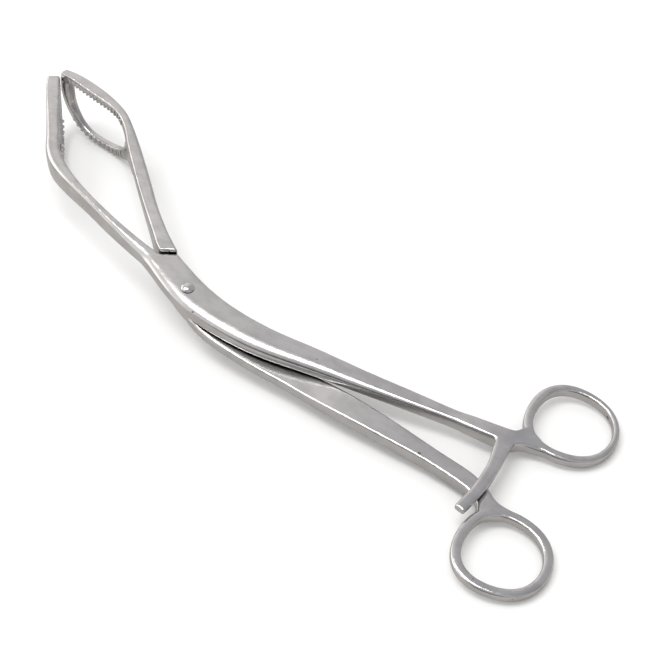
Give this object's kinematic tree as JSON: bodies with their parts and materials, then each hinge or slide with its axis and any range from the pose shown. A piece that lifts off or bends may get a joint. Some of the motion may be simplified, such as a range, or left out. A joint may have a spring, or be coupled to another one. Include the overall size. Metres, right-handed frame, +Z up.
{
  "type": "uterine elevating forceps",
  "caption": "Steel ring-handled forceps curved sideways, with a lap joint, a ratchet and long fenestrated loop jaws serrated across the biting faces.",
  "frame": {"origin": "centre of the footprint, on the table that the closed forceps lies on", "axes": "+Z up from the table, +Y from the finger rings towards the jaws, +X to the side that the jaws curve towards"},
  "size_m": [0.1054, 0.2134, 0.0239],
  "materials": {
    "polished_steel": "polished stainless steel with satin flats"
  },
  "bodies": {
    "lower": {"lower_lever": "polished_steel", "pivot_pin": "polished_steel"},
    "upper": {"upper_lever": "polished_steel"}
  },
  "joints": [
    {"name": "lap_joint", "type": "hinge", "parent": "lower", "child": "upper", "pos_m": [-0.00724, 0.0218, 0.0112], "axis": [0, -0.0885, 0.9961], "range_deg": [0, 25]}
  ]
}
